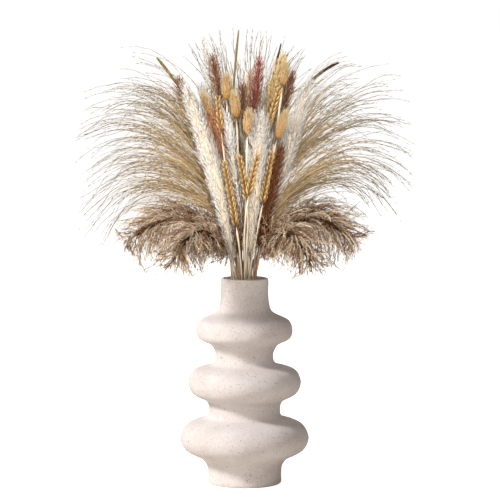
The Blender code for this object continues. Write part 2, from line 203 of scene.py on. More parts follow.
class BrownPampasLook(
    strand_colours(
        # The inner colours, near black, are partly the plume's own dark brown and partly painted shade
        # inside the plume.
        [(0.040, 0.015, 0.005), (0.26, 0.100, 0.030)], [(1.0, 0.63, 0.32), (1.0, 0.94, 0.78)]
    ),
    bpy.types.PropertyGroup,
):
    # The inner branchlets take the near-black colours, as painted shade inside the plume as well as its
    # darker brown.
    inner: number("Inner branchlets", "Dark branchlets close to the axis of a head", 110)
    outer: number("Outer branchlets", "Pale branchlets that stand out from a head", 250)
    reach: length("Branchlet length", "Length of a branchlet", 0.027)
    branchlet: length("Branchlet girth", "Half the width of a branchlet", 0.00036)
    least: length("Least opening", "How far the branchlets open at the plume's thin end", 0.024)
    hem: length("Hem", "Height of the lowest hairs' tips", 0.221)
    side: length("Side reach", "How far the hairs reach sideways from the axis", 0.136)
    ragged: length("Ragged edge", "How much shorter some branchlets end", 0.030)
    sag: length("Sag", "How far a branchlet's tip hangs", 0.011)
    wave: length("Wave", "Height of a branchlet's waves", 0.0024)
    # Dark tufts between the pale ones are partly painted shade of the gaps between curls.
    tuft: length("Tuft", "Distance between two tufts of pale branchlets", 0.013)
    hairs: number("Hairs", "Hairs on each branchlet", 9)
    hair: length("Hair length", "Length of a hair", 0.0078)
    girth: length("Hair girth", "Half the width of a hair at its root", 0.00038)
    lean: angle("Lean", "Angle between a hair and its branchlet", 40)
    glow: share("Glow", "How much light passes through the hairs", 0.1)
    rise: share("Rise", "How late along a hair its tip colour comes", 0.55, max=3.0)
    core: share("Core", "Girth of the core as a share of the head's", 0.2)


class SilverGrassLook(
    strand_colours(
        [(0.58, 0.375, 0.155), (0.97, 0.70, 0.36)], [(0.14, 0.128, 0.115), (0.23, 0.215, 0.20)]
    ),
    bpy.types.PropertyGroup,
):
    threads: number("Threads", "Threads in each head", 64)
    under: number("Under threads", "Short threads that fill the foot of each head", 48)
    lead: share("Lead", "How far below the head the first threads part, in head lengths", 0.50)
    spread: length("Spread", "How far the threads part at their tips", 0.036)
    swing: angle("Swing", "How far a thread swings from its head's arch", 4.5)
    sag: length("Sag", "How far a thread's tip hangs", 0.007)
    wave: length("Wave", "Height of a thread's waves", 0.0026)
    parting: length("Parting", "How far from the axis the threads part", 0.0006)
    thread: length("Thread girth", "Half the width of a thread", 0.00023)
    spikelets: number("Spikelets", "Spikelets on each thread", 26)
    spikelet: length("Spikelet length", "Length of a spikelet", 0.0040)
    girth: length("Spikelet girth", "Half the width of a spikelet", 0.00031)
    lean: angle("Lean", "Angle between a spikelet and its thread", 14)
    glow: share("Glow", "How much light passes through the threads", 0.3)


class ReedPlumeLook(
    fur(
        locks=230, lock=0.0080, lean=36, hairs=21, hair=0.0042, splay=26, girth=0.00028,
        core=0.5, taper=0.5, glow=0.2,
    ),
    bpy.types.PropertyGroup,
):
    brown: colour("Brown", "Colour of the brown plumes", (0.215, 0.076, 0.031))
    russet: colour("Russet", "Colour of the darkest plume", (0.150, 0.034, 0.012))
    burgundy: colour("Burgundy", "Colour of the wine red plumes", (0.27, 0.062, 0.036))
    copper: colour("Copper", "Colour of the copper plumes", (0.47, 0.20, 0.082))
    golden: colour("Golden", "Colour of the golden plumes", (0.62, 0.42, 0.18))
    sand: colour("Sand", "Colour of the sandy plumes", (0.60, 0.40, 0.23))


class BunnyTailLook(
    fur(
        locks=1100, lock=0.0040, lean=24, hairs=8, hair=0.0044, splay=17, girth=0.00015,
        core=0.98, taper=0.0, glow=0.3,
    ),
    strand_colours(
        [(0.38, 0.18, 0.04), (0.54, 0.30, 0.075)], [(0.73, 0.51, 0.19), (0.86, 0.71, 0.39)]
    ),
    bpy.types.PropertyGroup,
):
    pass


class WheatEarLook(
    strand_colours(
        # The husks' feet are dark and their tips golden: the dark feet are painted shade in the gaps
        # between the grains.
        [(0.16, 0.075, 0.024), (0.62, 0.39, 0.13)], [(0.30, 0.17, 0.061), (0.83, 0.60, 0.28)]
    ),
    bpy.types.PropertyGroup,
):
    spacing: length("Grain spacing", "Length of ear between two grains", 0.0029)
    grain: length("Grain length", "Length of a grain in its husk", 0.0080)
    girth: length("Grain girth", "Half the width of a grain", 0.00138)
    lean: angle("Lean", "Angle between a grain and the ear", 29)
    beard: length("Beard", "Length of the bristle on a grain", 0.0085)
    beard_girth: length("Beard girth", "Half the width of a bristle", 0.00018)
    rise: share("Rise", "How late along a husk its tip colour comes", 1.5, max=3.0)


class SeedSpikeLook(bpy.types.PropertyGroup):
    spacing: length("Seed spacing", "Length of spike for each seed", 0.00028)
    seed: length("Seed length", "Length of a seed", 0.0024)
    girth: length("Seed girth", "Half the width of a seed", 0.00038)
    lean: angle("Lean", "Angle between a seed and the spike", 9)
    brown: colour("Brown", "Colour of the brown spikes", (0.055, 0.026, 0.015))
    olive: colour("Olive", "Colour of the olive spikes", (0.20, 0.155, 0.05))


class StageLook(bpy.types.PropertyGroup):
    distance: length("Camera distance", "From the vase's axis to the camera", 2.6)
    aim_height: length("Aim height", "Height that the camera looks at", 0.2440)
    aim_side: length("Aim side", "How far right of the axis the camera looks", 0.0057)
    elevation: angle("Elevation", "How far the camera looks down", 5)
    lens: FloatProperty(name="Lens", description="Focal length in millimetres", default=180.2)
    key_power: power("Key light", "Power of the main light", 92.0)
    key_size: length("Key size", "Width of the main light", 0.5)
    front_power: power("Front fill", "Power of the light in front", 13.0)
    plume_power: power("Plume light", "Power of the light on the plumes alone", 236.0)
    back_power: power("Back fill", "Power of the light behind", 16.0)
    side_power: power("Side fill", "Power of the light on the right", 4.0)
    fill: share("Fill", "Strength of the light from all round", 0.20)
    sky: colour("Sky", "Colour of the light from all round", (1.0, 0.92, 0.84))
    floor_size: length("Floor size", "Radius of the floor", 400.0)
    floor: colour("Floor", "Colour of the floor", (0.90, 0.90, 0.90))
    bounce: colour("Bounce", "Colour of the light that the floor throws back", (0.88, 0.83, 0.77))
    glow: share("Glow", "How far the floor's own light lifts it to white", 0.86)


LOOKS = {
    "vase": VaseLook,
    "twine": TwineLook,
    "stem": StemLook,
    "white_pampas": WhitePampasLook,
    "brown_pampas": BrownPampasLook,
    "silver_grass": SilverGrassLook,
    "reed_plume": ReedPlumeLook,
    "bunny_tail": BunnyTailLook,
    "wheat_ear": WheatEarLook,
    "seed_spike": SeedSpikeLook,
    "stage": StageLook,
}


class ArrangementLook(bpy.types.PropertyGroup):
    __annotations__ = {name: PointerProperty(type=look) for name, look in LOOKS.items()}


# ---------------------------------------------------------------- lines


def unit(vectors):
    return vectors / np.linalg.norm(vectors, axis=-1, keepdims=True).clip(1e-12)


def directions(paths):
    """The direction at every point of every path; paths is (paths, points, 3)."""
    return unit(np.gradient(paths, axis=1))


def between(rows, shares):
    """What each row holds at those shares of its length; rows is (rows, places, values)."""
    spans = rows.shape[1] - 1
    place = shares * spans
    low = np.minimum(place.astype(int), spans - 1)
    part = (place - low)[..., None]
    row = np.arange(len(rows))[:, None]
    return rows[row, low] * (1 - part) + rows[row, low + 1] * part


def along(paths, shares):
    """The point and the direction at each share of each path; shares is (paths, places)."""
    return between(paths, shares), unit(between(directions(paths), shares))


def smooth_through(points, steps):
    """A smooth line through the points, whose first three numbers are their places."""
    gaps = np.linalg.norm(np.diff(points[:, :3], axis=0), axis=1)[:, None]
    slopes = np.diff(points, axis=0) / gaps
    inner = (slopes[:-1] * gaps[1:] + slopes[1:] * gaps[:-1]) / (gaps[:-1] + gaps[1:])
    slopes = np.vstack([slopes[:1], inner, slopes[-1:]])
    t = np.linspace(0, 1, steps, endpoint=False)[None, :, None]
    start, end = points[:-1, None], points[1:, None]
    leave, arrive = (slopes[:-1] * gaps)[:, None], (slopes[1:] * gaps)[:, None]
    line = (
        start * (2 * t**3 - 3 * t**2 + 1)
        + leave * (t**3 - 2 * t**2 + t)
        + end * (3 * t**2 - 2 * t**3)
        + arrive * (t**3 - t**2)
    )
    return np.vstack([line.reshape(-1, points.shape[1]), points[-1:]])


class Spine:
    """The middle line of a stem or a head and its girth, read at any share of its length."""

    def __init__(self, middles, girths):
        line = smooth_through(np.column_stack([middles, girths]), 6)
        self.points, self.girths = line[:, :3], line[:, 3]
        steps = np.linalg.norm(np.diff(self.points, axis=0), axis=1)
        self.length = steps.sum()
        self.shares = np.append(0, np.cumsum(steps)) / self.length
        self.runs = directions(self.points[None])[0]
        side = np.cross(self.runs[0], (0.0, 1.0, 0.1))
        sides = []
        for run in self.runs:
            side = unit(side - run * (side @ run))
            sides.append(side)
        self.sides = np.array(sides)
        self.ups = np.cross(self.runs, self.sides)

    def read(self, values, shares):
        return np.stack([np.interp(shares, self.shares, column) for column in values.T], -1)

    def middle(self, shares):
        """The one path along the spine itself."""
        return self.read(self.points, shares)[None]

    def girth(self, shares):
        return np.interp(shares, self.shares, self.girths)

    def at(self, shares, turns, widths):
        """Points that far out from the spine at those turns; past its tip it runs straight on."""
        run = unit(self.read(self.runs, shares))
        past = (shares - np.clip(shares, 0, 1)) * self.length
        side, up = self.read(self.sides, shares), self.read(self.ups, shares)
        out = np.cos(turns)[..., None] * side + np.sin(turns)[..., None] * up
        return self.read(self.points, shares) + run * past[..., None] + out * widths[..., None]


def read_mesh(things, what, width, kind=np.float32):
    values = np.empty(len(things) * width, kind)
    things.foreach_get(what, values)
    return values.reshape(-1, width)


def rings_of(node):
    """The rings of points of a solid, from its foot ring onwards."""
    places = read_mesh(node.data.vertices, "co", 3).astype(float).round(6)
    places, merged = np.unique(places, axis=0, return_inverse=True)
    triangles = merged.ravel()[read_mesh(node.data.polygons, "vertices", 3, np.int32)]
    beside = [set() for _ in places]
    for corners in triangles.tolist():
        for corner in corners:
            beside[corner].update(corners)
    ring = set(np.flatnonzero(places[:, 2] < places[:, 2].min() + 1e-5).tolist())
    seen, rings = set(ring), []
    while ring:
        rings.append(places[sorted(ring)])
        ring = set().union(*(beside[point] for point in ring)) - seen
        seen |= ring
    return rings


class Stalk:
    """The stem and the head of one stalk, read from its solid."""

    def __init__(self, node):
        rings = rings_of(node)
        middles = np.array([ring.mean(axis=0) for ring in rings])
        girths = [np.linalg.norm(r - m, axis=1).mean() for r, m in zip(rings, middles)]
        self.whole = Spine(middles, girths)
        self.stem = Spine(middles[:STEM_RINGS], girths[:STEM_RINGS])
        self.head = Spine(middles[STEM_RINGS - 1 :], girths[STEM_RINGS - 1 :])


def held_in(paths, side=None, hem=0.001):
    """The paths, those that reach too far past the solid model drawn back towards their roots;
    side and hem hold each of them closer, to that far from the axis and above that height."""
    low = np.tile(np.array(CAD_BOX[0]) - STANDS_PROUD, (len(paths), 1, 1))
    high = np.tile(np.array(CAD_BOX[1]) + STANDS_PROUD, (len(paths), 1, 1))
    low[:, 0, 2] = hem
    if side is not None:
        low[:, 0, 0], high[:, 0, 0] = -side, side
    root = paths[:, :1]
    reach = paths - root
    room = np.where(reach > 0, high - root, root - low).clip(0)
    keep = np.where(np.abs(reach) > room, room / np.abs(reach).clip(1e-9), 1.0).min(axis=(1, 2))
    return root + reach * keep[:, None, None]


# ---------------------------------------------------------------- modelled blanks


def start_modelling():
    if bpy.context.mode != "OBJECT":
        bpy.ops.object.mode_set(mode="OBJECT")
    bpy.ops.object.select_all(action="DESELECT")


def pick(kind, wanted):
    """In edit mode, selects the faces or the points that pass the test, and nothing else."""
    bpy.ops.mesh.select_all(action="DESELECT")
    bpy.ops.mesh.select_mode(type=kind)
    mesh = bmesh.from_edit_mesh(bpy.context.edit_object.data)
    for part in mesh.faces if kind == "FACE" else mesh.verts:
        part.select_set(bool(wanted(part)))
    bmesh.update_edit_mesh(bpy.context.edit_object.data)


def on_axis(point):
    return point.co.xy.length < TINY


def model_bristle():
    """A closed blank that narrows from its root to a point."""
    start_modelling()
    bpy.ops.mesh.primitive_cone_add(vertices=3, radius1=1, radius2=0, depth=1, location=(0, 0, 0.5))
    bpy.ops.object.transform_apply(location=True)
    return Blank(bpy.context.object)


class Blank:
    """A small shape one unit long, modelled once along +Z and laid many times along paths."""

    def __init__(self, thing):
        self.points = read_mesh(thing.data.vertices, "co", 3).astype(float)
        faces = read_mesh(thing.data.polygons, "vertices", 3, np.int32)
        first = faces.argmin(axis=1)[:, None]
        faces = np.take_along_axis(faces, (first + np.arange(3)) % 3, axis=1)
        self.faces = faces[np.lexsort(faces.T[::-1])]  # the tools leave them in no fixed order
        corners = self.points[self.faces]
        turn = np.arctan2(corners[..., 1], corners[..., 0]) / math.tau % 1.0
        central = np.hypot(corners[..., 0], corners[..., 1]) < TINY
        for row, axis in zip(turn, central):
            if np.ptp(row[~axis]) > 0.5:
                row[row < 0.5] += 1.0
            row[axis] = row[~axis].mean()
        self.across, self.along = turn, corners[..., 2]
        bpy.data.meshes.remove(thing.data)


def model_blank(sides, outline):
    """A closed blank with that many sides, pointed at both ends; the outline gives each ring's
    height and girth."""
    start_modelling()
    (height, girth), *rest = outline
    bpy.ops.mesh.primitive_circle_add(
        vertices=sides, radius=girth, fill_type="NGON", location=(0, 0, height)
    )
    blank = bpy.context.object
    bpy.ops.object.transform_apply(location=True)
    bpy.ops.object.mode_set(mode="EDIT")
    bpy.ops.mesh.select_all(action="SELECT")
    if not rest:  # a single ring is doubled, drawn out at both ends and joined again
        rest = [(height + DOUBLED, girth)]
    for next_height, next_girth in rest:
        bpy.ops.mesh.extrude_region_move(
            TRANSFORM_OT_translate={"value": (0, 0, next_height - height)}
        )
        scale = next_girth / girth
        bpy.ops.transform.resize(value=(scale, scale, 1), center_override=(0, 0, next_height))
        height, girth = next_height, next_girth
    pick("FACE", lambda face: abs(face.normal.z) > 0.999)
    bpy.ops.mesh.poke()
    first = outline[0][0]
    pick("VERT", lambda point: on_axis(point) and point.co.z < first + TINY)
    bpy.ops.transform.translate(value=(0, 0, -first))
    pick("VERT", lambda point: on_axis(point) and point.co.z > height - TINY)
    bpy.ops.transform.translate(value=(0, 0, 1 - height))
    bpy.ops.mesh.select_all(action="SELECT")
    if len(outline) == 1:
        bpy.ops.mesh.remove_doubles(threshold=2 * DOUBLED)
    bpy.ops.mesh.quads_convert_to_tris()
    bpy.ops.mesh.normals_make_consistent(inside=False)
    bpy.ops.object.mode_set(mode="OBJECT")
    return Blank(blank)


def even(name, sides):
    """The shape of a blank of even girth, with a ring for each knot of its path."""
    return sides, [(height, 1.0) for height in np.linspace(0, 1, KNOTS[name])[1:-1]]


BLANK_SHAPES = {
    "hair": (3, [(0.42, 1.0)]),
    "thread": even("thread", 3),
    "long_thread": even("long_thread", 3),
    "stem": even("stem", 7),
    "core": even("core", 9),
    "twine": even("twine", 6),
    "grain": (6, [(0.10, 0.62), (0.34, 1.0), (0.68, 0.80), (0.90, 0.34)]),
    "seed": (5, [(0.22, 0.85), (0.62, 0.95)]),
}
blanks = {}


def blank(name):
    """The blank of that name, modelled the first time it is asked for."""
    if name not in blanks:
        blanks[name] = model_bristle() if name == "bristle" else model_blank(*BLANK_SHAPES[name])
    return blanks[name]


class Sheaf:
    """Gathers everything that is laid on one stalk, and makes it one piece."""

    def __init__(self, seed):
        self.rng = np.random.default_rng(seed)
        self.points, self.faces, self.map_points, self.slots = [], [], [], []
        self.count = 0

    def vary(self, count, low, high):
        """A column of that many numbers between the two."""
        return self.rng.uniform(low, high, (count, 1))

    def turns(self, count, loose):
        """A column of turns round a spine, no two of which line up."""
        return (np.arange(count) * STEP_ROUND + self.rng.normal(0, loose, count))[:, None]

    def lay(self, name, paths, girths, band, tones, flat=1.0, facing=None):
        """Lays a copy of the blank along every path, in a band of the map, with its tone."""
        shape = blank(name)
        copies, knots = paths.shape[:2]
        girths = np.asarray(girths, float)
        girths = np.ones((copies, knots)) * (girths if girths.ndim == 2 else girths.reshape(-1, 1))
        heights = np.tile(shape.points[:, 2].clip(0, 1), (copies, 1))
        middle, run = along(paths, heights)
        girth = between(girths[..., None], heights)
        if facing is None:
            chord = paths[:, -1] - paths[:, 0]
            facing = np.cross(chord, self.rng.normal(size=chord.shape))
        facing = unit(facing)[:, None]
        side = unit(facing - run * (facing * run).sum(axis=-1, keepdims=True))
        up = np.cross(run, side)
        x, y = shape.points[:, 0, None], shape.points[:, 1, None] * flat
        self.points.append((middle + girth * (x * side + y * up)).reshape(-1, 3))
        first = self.count + np.arange(copies)[:, None, None] * len(shape.points)
        self.faces.append((shape.faces[None] + first).reshape(-1, 3))
        self.count += copies * len(shape.points)
        start, width = BANDS[band]
        tones = np.ones(copies) * tones
        across = start + width * (MAP_EDGE + TONES_REACH * tones[:, None, None].clip(0, 1))
        across = across + width * STRAND_REACH * shape.across[None]
        upwards = MAP_EDGE + (1 - 2 * MAP_EDGE) * shape.along[None]
        upwards = np.broadcast_to(upwards, across.shape)
        self.map_points.append(np.stack([across, upwards], -1).reshape(-1, 2))
        self.slots.append((band, copies * len(shape.faces)))

    def piece(self, name, finishes):
        """One object of all that was laid, with the finishes of the bands that it uses."""
        used = {band for band, _ in self.slots}
        order = [band for band in finishes if band in used]
        slots = np.concatenate([np.full(faces, order.index(band)) for band, faces in self.slots])
        mesh = bpy.data.meshes.new(name)
        mesh.from_pydata(np.concatenate(self.points), [], np.concatenate(self.faces))
        mesh.polygons.foreach_set("material_index", slots)
        where = np.concatenate(self.map_points)
        mesh.uv_layers.new(name=BAKE_MAP).data.foreach_set("uv", where.ravel())
        mesh.shade_smooth()
        for band in order:
            mesh.materials.append(finishes[band])
        mesh.validate()
        thing = bpy.data.objects.new(name, mesh)
        bpy.context.scene.collection.objects.link(thing)
        return thing


# ---------------------------------------------------------------- growing


def hairs_on(paths, rng, count, first, lean, size, sag=0.0, shrink=0.0):
    """Hairs all along each path from that share of it, which leave it at an angle, bend back
    along it and shrink towards its tip; also each one's share of its path."""
    bend_back = 0.35
    steps = (np.arange(count) + rng.uniform(0, 1, (len(paths), count))) / count
    shares = first + (1 - first) * steps
    root, run = along(paths, shares)
    aside = unit(np.cross(run, rng.normal(size=run.shape)))
    turn = (lean * rng.normal(1, 0.28, shares.shape).clip(0.3, 1.9))[..., None]
    leave = run * np.cos(turn) + aside * np.sin(turn)
    bent = unit(run * np.cos(turn * bend_back) + aside * np.sin(turn * bend_back))
    long = (size * (1 - shrink * shares) * rng.uniform(0.65, 1.25, shares.shape))[..., None]
    middle = root + leave * long * 0.5
    tip = middle + bent * long * 0.5 - np.array([0, 0, sag]) * long
    return np.stack([root, middle, tip], axis=2).reshape(-1, 3, 3), shares.ravel()


def lay_stem(sheaf, spine, redness):
    """The stem from its cut foot to its head."""
    shares = np.linspace(0, 1, KNOTS["stem"])
    girths = spine.girth(shares)[None] * STEM_FIT
    sheaf.lay("stem", spine.middle(shares), girths, "stem", redness)


def lay_core(sheaf, spine, share_of_girth, end=1.0):
    """The dense middle of a head, which hides what is behind it."""
    shares = np.linspace(0, end, KNOTS["core"])
    bumps = 1 + sheaf.rng.normal(0, 0.05, len(shares))
    taper = np.minimum(1, (1.02 * end - shares) / 0.12)
    girths = spine.girth(shares)[None] * share_of_girth * bumps * taper
    sheaf.lay("core", spine.middle(shares), girths, "core", 0.5)


def grow_fur(sheaf, spine, look, density=1.0, core=1.0, fluff=1.0, crown=0.0, first=0.0):
    """Pointed locks of hair all round a core, which lean towards the tip of the head. They
    start at that share of the head, and crown makes them longer near its tip."""
    rng = sheaf.rng
    if core:
        lay_core(sheaf, spine, core * look.core)
    core = look.core * (core or 0.35)
    count = round(look.locks * density * (1 - first) * spine.length / DECIMETRE)
    steps = np.linspace(first, 1, 60)
    crowd = np.cumsum(spine.girth(steps) + 0.0008)  # more locks where the head is thick
    root = np.interp((np.arange(count) + 0.5) / count, crowd / crowd[-1], steps)
    girths = spine.girth(root)
    lean = look.lean * rng.normal(1, 0.22, count).clip(0.3, 1.8) * (1 - 0.5 * root**4)
    size = look.lock * fluff * (1 - look.taper * (1 - girths / girths.max()))
    crowned = np.exp(-(((root - CROWN_AT) / CROWN_REACH) ** 2))
    size *= rng.uniform(*UNEVEN, count) * (1 + crown * crowned)
    ahead, aside = (size * np.cos(lean))[:, None], (size * np.sin(lean))[:, None]
    shares = root[:, None] + ahead / spine.length * np.array([[0, 0.5, 1.0]])
    turns = sheaf.turns(count, 0.2)
    widths = 0.8 * core * girths[:, None] + aside * np.array([[0, 0.6, 1.0]])
    locks = spine.at(shares, turns, widths)
    outward = locks[:, 2] - spine.at(shares, turns, 0 * widths)[:, 2]
    around = np.repeat(np.cross(outward, locks[:, 2] - locks[:, 0]), look.hairs, axis=0)
    long = look.hair * (0.5 + 0.5 * fluff)
    hairs, places = hairs_on(locks, rng, look.hairs, 0.0, look.splay, long, shrink=0.55)
    # Low tones, low on the head and near each lock's root, take the near colours; for the white plumes
    # these are partly painted shade.
    tones = 0.25 * places + np.repeat(0.2 * rng.uniform(size=count) + 0.45 * root, look.hairs)
    tones += 0.15 * rng.uniform(size=len(places)) - 0.05
    widest = look.girth * rng.uniform(*UNEVEN, len(hairs))
    sheaf.lay("bristle", held_in(hairs), widest, "head", tones, 0.45, around)


def grow_white_pampas(sheaf, stalk, look, ordinal):
    """A white plume; the airy ones are thin enough to see through."""
    if ordinal in AIRY_PLUMES:
        grow_fur(sheaf, stalk.head, look, density=0.4, core=0.3)
    elif ordinal in TUFTED_PLUMES:
        grow_fur(sheaf, stalk.head, look, density=0.3, core=0.3)
        grow_fur(sheaf, stalk.head, look, core=0, first=TUFTED_PLUMES[ordinal])
    else:
        grow_fur(sheaf, stalk.head, look, crown=CROWNED_PLUMES.get(ordinal, 0.15))


def grow_reed_plume(sheaf, stalk, look, ordinal):
    fluff = FLUFFED_REEDS.get(ordinal, 1.0)
    grow_fur(sheaf, stalk.head, look, density=fluff, fluff=fluff)


def swaying(sheaf, paths, beats, wave, uneven=None):
    """The paths in waves from side to side that grow towards their tips; beats is how many
    radians of wave they may have, and uneven makes some waves higher than others."""
    count, rng = len(paths), sheaf.rng
    rise = np.linspace(0, 1, paths.shape[1])[None, :, None]
    sway = unit(rng.normal(size=(count, 1, 3)))
    phase = rng.uniform(0, math.tau, (count, 1, 1))
    beat = rng.uniform(*beats, (count, 1, 1))
    if uneven:
        wave = wave * rng.uniform(*uneven, (count, 1, 1))
    return paths + sway * wave * (np.sin(rise * beat + phase) - np.sin(phase)) * rise


def grow_brown_pampas(sheaf, stalk, look, ordinal):
    """A drooping plume: dark crisp branchlets close to its axis, partly painted shade inside the plume,
    and pale ones curling outside.
    """
    lay_core(sheaf, stalk.head, look.core)
    # The inner branchlets are darkened as painted shade inside the plume, partly its own darker brown.
    lay_curls(sheaf, stalk.head, look, look.inner, (0.1, 1.1), 0.3, -0.15)
    lay_curls(sheaf, stalk.head, look, look.outer, (0.6, 1.7), 1.0, 0.35)


def lay_curls(sheaf, spine, look, count, opens, sag, pale):
    """Curling branchlets with short hairs, in pale and dark tufts; the dark tufts are partly painted
    shade of the gaps between curls. They open between those shares of the plume's girth; pale
    lightens them all, and below zero darkens them as painted shade inside the plume."""
    rng, knots = sheaf.rng, KNOTS["thread"]
    start = ((np.arange(count) + 0.5) / count * 0.95 + rng.normal(0, 0.01, count)).clip(0, 0.96)
    rise = np.linspace(0, 1, knots)[None]
    ahead = look.reach / spine.length * sheaf.vary(count, 0.4, 1.1) * rise
    shares = np.minimum(start[:, None] + ahead, 0.98)
    turns = sheaf.turns(count, 0.3)
    opening = np.maximum(spine.girth(shares), look.least * np.minimum(1, start * 3)[:, None])
    paths = spine.at(shares, turns, opening * sheaf.vary(count, *opens) * rise**0.75)
    droop = look.sag * sag * sheaf.vary(count, 0.4, 1.5) * rise**1.5
    paths[..., 2] -= droop
    paths = swaying(sheaf, paths, (4, 9), look.wave, (0.4, 1.6))
    short = look.ragged * rng.uniform(0, 1, count) ** 2
    paths = held_in(paths, look.side - short, look.hem + short)
    # Pale and dark tufts in space; the dark ones are partly painted shade of the gaps between curls.
    waves = paths[:, knots // 2] / look.tuft * math.tau + rng.uniform(0, math.tau, 3)
    tufts = (0.35 + pale + 0.45 * np.sin(waves).sum(axis=1)).clip(0, 1)
    tones = tufts * rng.uniform(0.6, 1.0, count) * (0.3 + 0.9 * start)
    girths = look.branchlet * sheaf.vary(count, *UNEVEN) * (1.15 - 0.7 * rise)
    sheaf.lay("thread", paths, girths, "head", tones)
    hairs, places = hairs_on(
        paths, rng, look.hairs, 0.2, look.lean, look.hair, sag=0.25 * sag, shrink=0.4
    )
    tones = (np.repeat(tones, look.hairs) * (0.5 + places)).clip(0, 1)
    girths = look.girth * rng.uniform(*UNEVEN, len(hairs))
    sheaf.lay("bristle", held_in(hairs, look.side, look.hem), girths, "head", tones)


def lay_under_threads(sheaf, spine, look, head):
    """Short threads that fill the foot of a fountain, whose head is that share of its spine."""
    count = look.under
    rise = np.linspace(0, 1, 7)[None]
    start = 1 - head * sheaf.vary(count, 0.85, 1.3)
    shares = start + (1 - head * sheaf.vary(count, 0.4, 0.8) - start) * rise
    turns = sheaf.vary(count, 0, math.tau)
    size = look.spread * min(1.0, head * spine.length / FULL_FAN) * sheaf.vary(count, 0.1, 0.7)
    paths = spine.at(shares, turns, look.parting + size * rise)
    girths = look.thread * sheaf.vary(count, 1.0, 1.7) * (1 - 0.6 * rise)
    sheaf.lay("thread", held_in(paths), girths, "head", 0.4 * sheaf.rng.uniform(size=count))


def grow_silver_grass(sheaf, stalk, look, ordinal):
    """A fountain of long threads, each beaded with small spikelets."""
    rng, spine = sheaf.rng, stalk.whole
    lay_core(sheaf, stalk.head, 0.13, end=0.45)
    count = look.threads
    rise = np.linspace(0, 1, KNOTS["long_thread"])[None]
    head = stalk.head.length / spine.length
    start = (1 - head) + head * (sheaf.vary(count, 0, 1) * (0.35 + look.lead) - look.lead)
    short = sheaf.vary(count, 0, 1) ** 1.15
    end = 1 - head * (0.62 * short - 0.06)
    shares = start + (end - start) * rise
    turns = sheaf.turns(count, 0.3)
    size = look.spread * min(1.0, stalk.head.length / FULL_FAN) * sheaf.vary(count, 0.03, 1) ** 0.6
    paths = spine.at(shares, turns, look.parting + size * rise)
    paths[..., 2] -= look.sag * sheaf.vary(count, 0.3, 1.5) * rise**2.6
    swing = rng.normal(0, look.swing, (count, 1, 1)) * (1 + 2.4 * short[..., None])
    arch = stalk.head.points[[0, len(stalk.head.points) // 2, -1]]
    axle = unit(np.cross(arch[1] - arch[0], arch[2] - arch[1]))
    reach = paths - paths[:, :1]
    paths = paths[:, :1] + reach * np.cos(swing) + np.cross(axle, reach) * np.sin(swing)
    paths = held_in(swaying(sheaf, paths, (7, 15), look.wave))
    girths = look.thread * (1.5 - 0.85 * rise) * np.ones((count, 1))
    sheaf.lay("long_thread", paths, girths, "thread", rng.uniform(size=count))
    lay_under_threads(sheaf, spine, look, head)
    spikelets, places = hairs_on(paths, rng, look.spikelets, 0.12, look.lean, look.spikelet)
    tones = 0.88 * (places * end[:, 0].repeat(look.spikelets) ** 3) ** 1.6
    tones = tones + 0.12 * rng.uniform(size=len(places))
    girths = look.girth * rng.uniform(0.75, 1.25, len(spikelets)) * (1.0 + 0.2 * places)
    sheaf.lay("bristle", held_in(spikelets), girths, "head", tones)


def grow_bunny_tail(sheaf, stalk, look, ordinal):
    grow_fur(sheaf, stalk.head, look, crown=0.6)


def set_along(spine, shares, turns, size, lean, foot, opening):
    """Short paths that start that far out from the spine and lean away from it, and the way
    that the flat side of each one faces."""
    ahead = size / spine.length * np.array([[0, 0.5, 1.0]])
    widths = foot + np.tan(lean) * size * np.array([opening])
    paths = spine.at(shares[:, None] + ahead, turns[:, None], widths)
    return paths, np.cross(paths[:, 2] - paths[:, 0], spine.runs[len(spine.runs) // 2])


def grow_wheat_ear(sheaf, stalk, look, ordinal):
    """Four rows of husked grains, each with its bristle."""
    rng, spine = sheaf.rng, stalk.head
    lay_core(sheaf, spine, 0.35)
    levels = round(spine.length / look.spacing)
    shares = np.repeat(np.linspace(0.0, 0.93, levels), 2)
    quarter = np.tile([0, math.pi], levels) + np.repeat(np.arange(levels) % 2, 2) * math.pi / 2
    turns = quarter + rng.normal(0, 0.10, len(shares)) + 0.5
    size = (look.grain * (1 - 0.30 * shares) * rng.uniform(0.92, 1.08, len(shares)))[:, None]
    grains, facing = set_along(spine, shares, turns, size, look.lean, 0.0004, (0, 0.62, 0.80))
    tones = rng.uniform(size=len(shares))
    sheaf.lay("grain", grains, look.girth * (1 - 0.25 * shares), "head", tones, 0.72, facing)
    run = unit(grains[:, 2] - grains[:, 1])
    tip = grains[:, 2] - run * 0.0006
    beard = look.beard * rng.uniform(0.5, 1.3, len(tip))[:, None]
    sway = rng.normal(0, 0.12, run.shape)
    bristles = np.stack([tip, tip + run * beard * 0.5, tip + unit(run + sway) * beard], axis=1)
    sheaf.lay("hair", held_in(bristles), look.beard_girth, "head", 0.6 + 0.4 * tones)


def grow_seed_spike(sheaf, stalk, look, ordinal):
    """A slim rod of seeds set closely round it."""
    rng, spine = sheaf.rng, stalk.head
    lay_core(sheaf, spine, 0.55)
    count = round(spine.length / look.spacing)
    shares = np.linspace(0.0, 0.97, count)
    turns = np.arange(count) * STEP_ROUND
    foot = 0.48 * spine.girth(shares)[:, None]
    seeds, facing = set_along(spine, shares, turns, look.seed, look.lean, foot, (0, 0.6, 0.9))
    sheaf.lay("seed", seeds, look.girth, "head", rng.uniform(size=count), 0.7, facing)


# ---------------------------------------------------------------- finishes


COLOUR, VALUE = "NodeSocketColor", "NodeSocketFloat"
WHITE = (1.0, 1.0, 1.0)
TINTS = ("Near Root", "Near Tip", "Far Root", "Far Tip")
GAUGES = ("Band Start", "Band Width", "Streaks", "Streak Length", "Rise")


